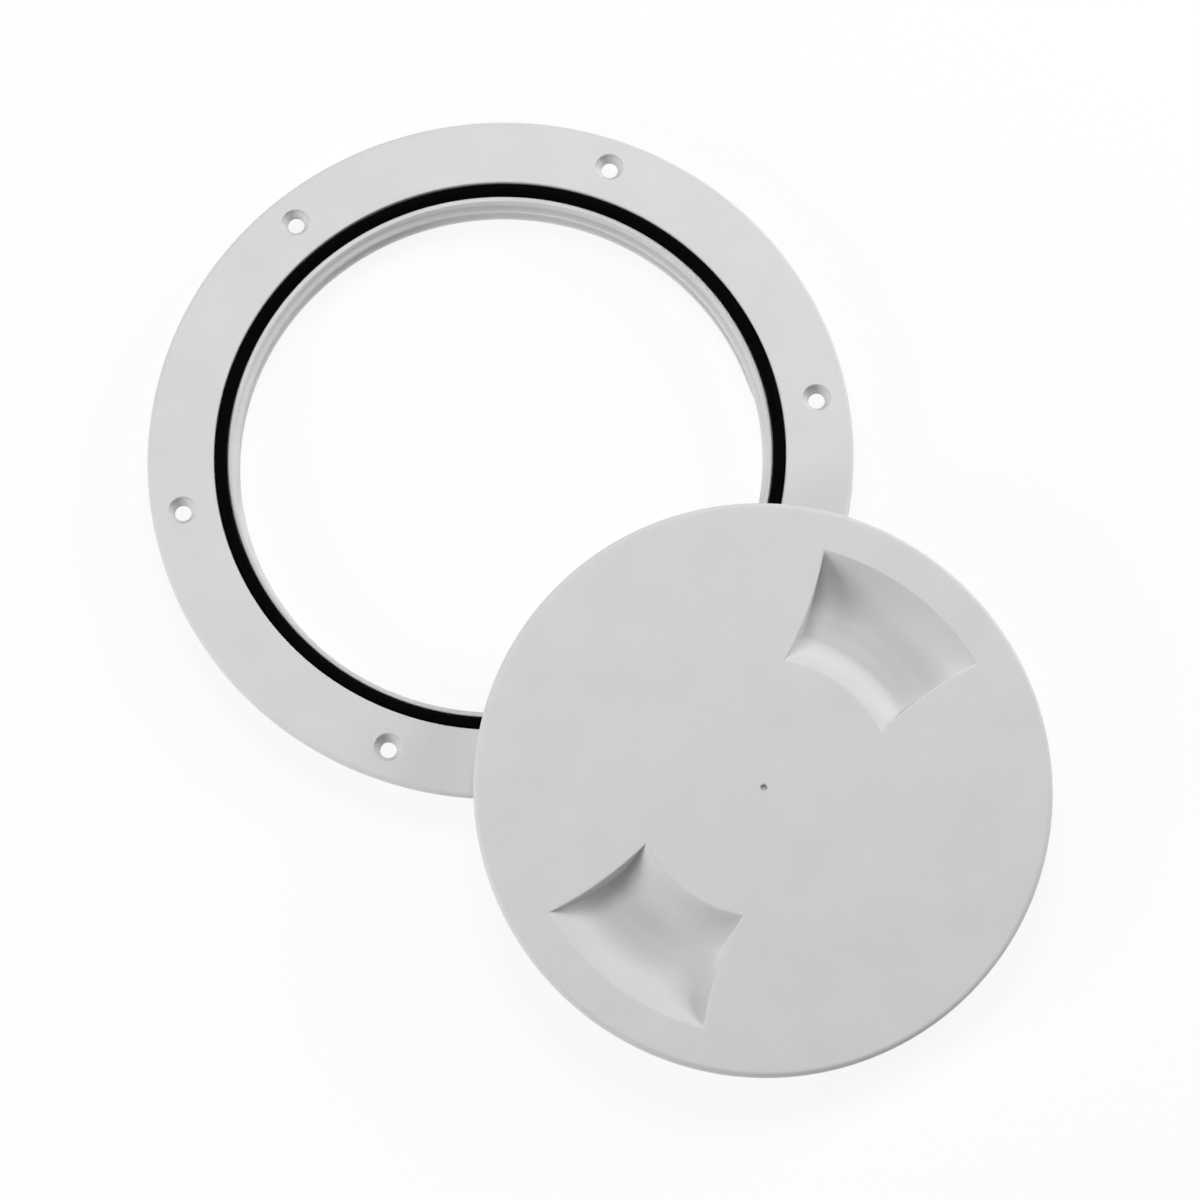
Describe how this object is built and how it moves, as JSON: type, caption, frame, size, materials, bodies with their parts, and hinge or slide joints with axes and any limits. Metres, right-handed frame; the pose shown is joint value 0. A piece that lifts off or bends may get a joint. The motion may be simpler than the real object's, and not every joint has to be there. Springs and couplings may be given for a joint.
{
  "type": "deck inspection plate",
  "caption": "Round screw-in deck inspection plate: flanged ring with threaded neck, countersunk screw holes and a seal, and its lid with finger recesses lying off, leaning on the ring.",
  "frame": {"origin": "on the ring's axis, at the flange's flat underside, where the plate meets the deck", "axes": "+Z along the ring's axis, out of the deck; +X through the first screw hole; the neck reaches down along -Z through the deck's cut-out"},
  "size_m": [0.2393, 0.2963, 0.0354],
  "materials": {
    "light_grey_plastic": "injection moulded, light grey, fine satin texture",
    "black_rubber": "moulded black rubber cord, slightly satin"
  },
  "bodies": {
    "root": {"ring": "light_grey_plastic", "seal": "black_rubber", "lid": "light_grey_plastic"}
  },
  "joints": []
}
